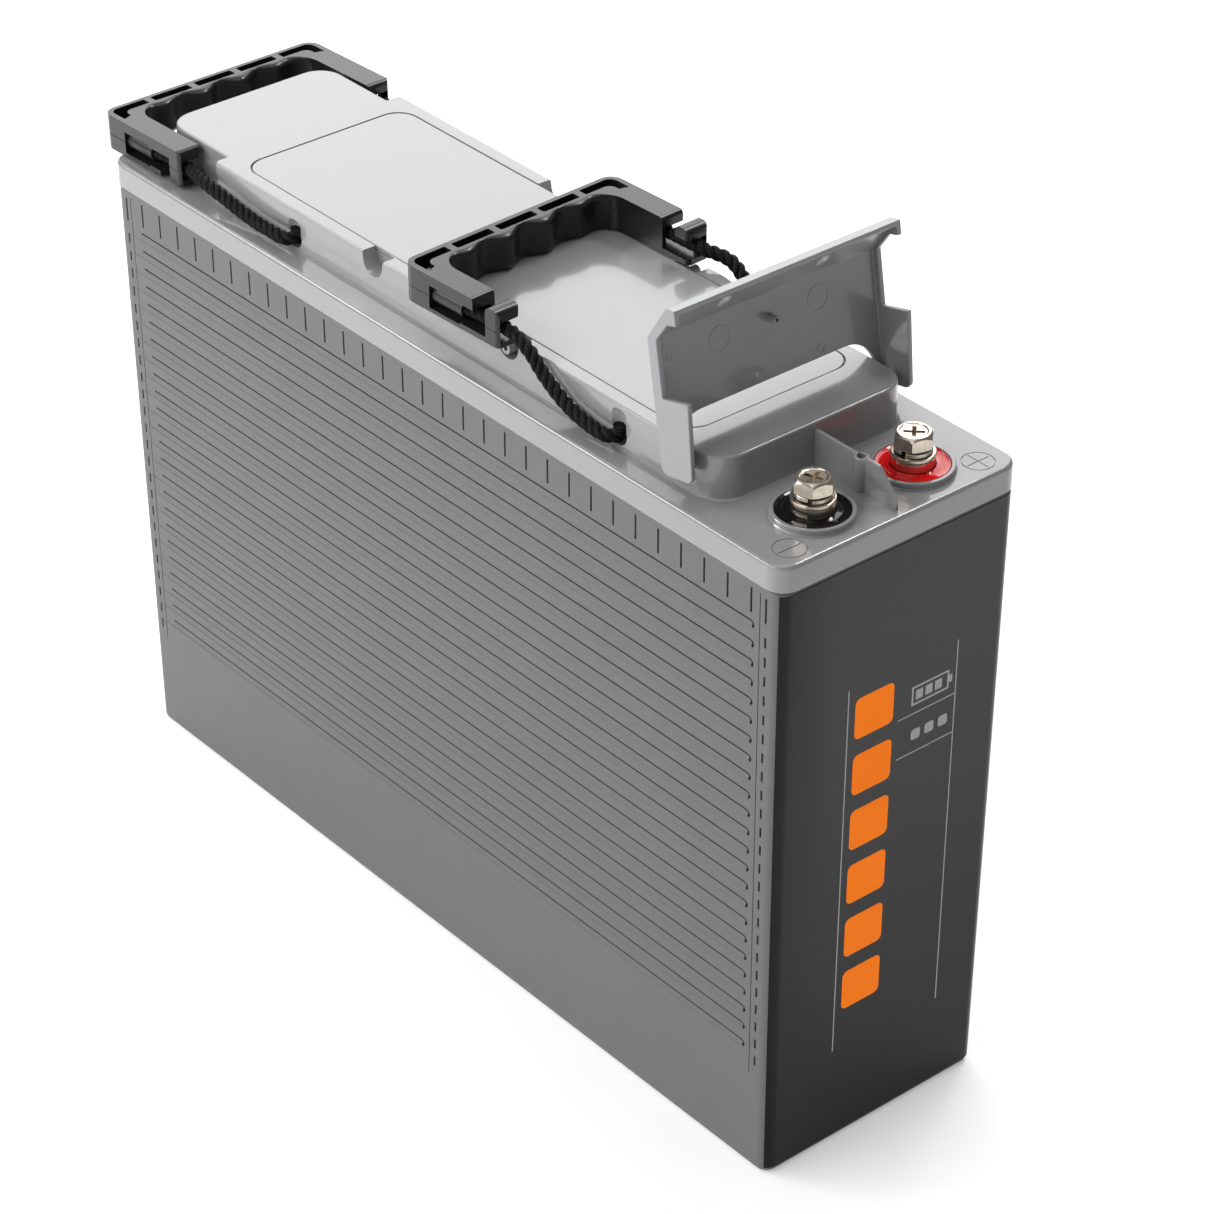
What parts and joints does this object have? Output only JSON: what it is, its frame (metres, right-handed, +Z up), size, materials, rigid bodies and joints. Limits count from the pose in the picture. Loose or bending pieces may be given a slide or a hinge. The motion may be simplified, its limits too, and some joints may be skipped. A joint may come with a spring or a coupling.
{
  "type": "front-terminal battery block",
  "caption": "Tall narrow ribbed battery block with a light lid, end terminals under a hinged cover, and two rope-hung carrying handles.",
  "frame": {"origin": "centre of the case's flat underside", "axes": "+Z up, +X along the case towards the end with the terminals and the label, +Y towards the positive terminal's long side"},
  "size_m": [0.4056, 0.112, 0.3366],
  "materials": {
    "case": "fine-grained satin grey moulding",
    "lid": "glossy light grey moulding",
    "top_strip": "glossy light grey, flush",
    "vent_tube": "light grey moulding",
    "label": "satin black film with thin pale rules and an orange bar",
    "epoxy_black": "wet-looking black potting resin",
    "epoxy_red": "wet-looking red potting resin",
    "terminal_metal": "nickel-plated brass",
    "washer_metal": "bright nickel plate",
    "bolt_metal": "bright nickel plate",
    "cover": "satin light grey moulding, in shade inside",
    "handle": "satin dark grey moulding",
    "ferrule": "dark crimped sleeve",
    "rope": "black three-strand twisted cord",
    "cell": "aluminium can in blue film",
    "busbar": "bare aluminium bar",
    "foam": "closed-cell packing foam",
    "deck": "glass-fibre sheet",
    "board": "green circuit board",
    "heat_spreader": "bare aluminium plate",
    "cable_black": "black cable sheath",
    "cable_red": "red cable sheath"
  },
  "bodies": {
    "battery": {"case": "case", "lid": "lid", "top_strip": "top_strip", "vent_tube_near": "vent_tube", "vent_tube_far": "vent_tube", "front_label": "label", "epoxy_disc_negative": "epoxy_black", "terminal_insert_negative": "terminal_metal", "flat_washer_negative": "washer_metal", "spring_washer_negative": "washer_metal", "terminal_bolt_negative": "bolt_metal", "epoxy_disc_positive": "epoxy_red", "terminal_insert_positive": "terminal_metal", "flat_washer_positive": "washer_metal", "spring_washer_positive": "washer_metal", "terminal_bolt_positive": "bolt_metal", "cell_1": "cell", "cell_2": "cell", "cell_3": "cell", "cell_4": "cell", "busbar_rear": "busbar", "busbar_middle": "busbar", "busbar_front": "busbar", "base_pad": "foam", "rear_spacer": "foam", "front_spacer": "foam", "cell_sheet": "foam", "insulating_deck": "deck", "management_board": "board", "heat_spreader": "heat_spreader", "upper_foam": "foam", "negative_cable": "cable_black", "positive_cable": "cable_red"},
    "cover": {"terminal_cover": "cover"},
    "rear_handle_set": {"rear_handle": "handle", "rear_ferrule_near": "ferrule", "rear_rope_near": "rope", "rear_rope_stop_near": "rope", "rear_ferrule_far": "ferrule", "rear_rope_far": "rope", "rear_rope_stop_far": "rope"},
    "front_handle_set": {"front_handle": "handle", "front_ferrule_near": "ferrule", "front_rope_near": "rope", "front_rope_stop_near": "rope", "front_ferrule_far": "ferrule", "front_rope_far": "rope", "front_rope_stop_far": "rope"}
  },
  "joints": [
    {"name": "cover_hinge", "type": "hinge", "parent": "battery", "child": "cover", "pos_m": [0.139, 0, 0.2773], "axis": [0, 1, 0], "range_deg": [0, 99.7]},
    {"name": "rear_handle_swing", "type": "hinge", "parent": "battery", "child": "rear_handle_set", "pos_m": [-0.088, 0, 0.271], "axis": [0, 1, 0], "range_deg": [0, 100]},
    {"name": "front_handle_swing", "type": "hinge", "parent": "battery", "child": "front_handle_set", "pos_m": [0.1015, 0, 0.271], "axis": [0, 1, 0], "range_deg": [0, 80]}
  ]
}
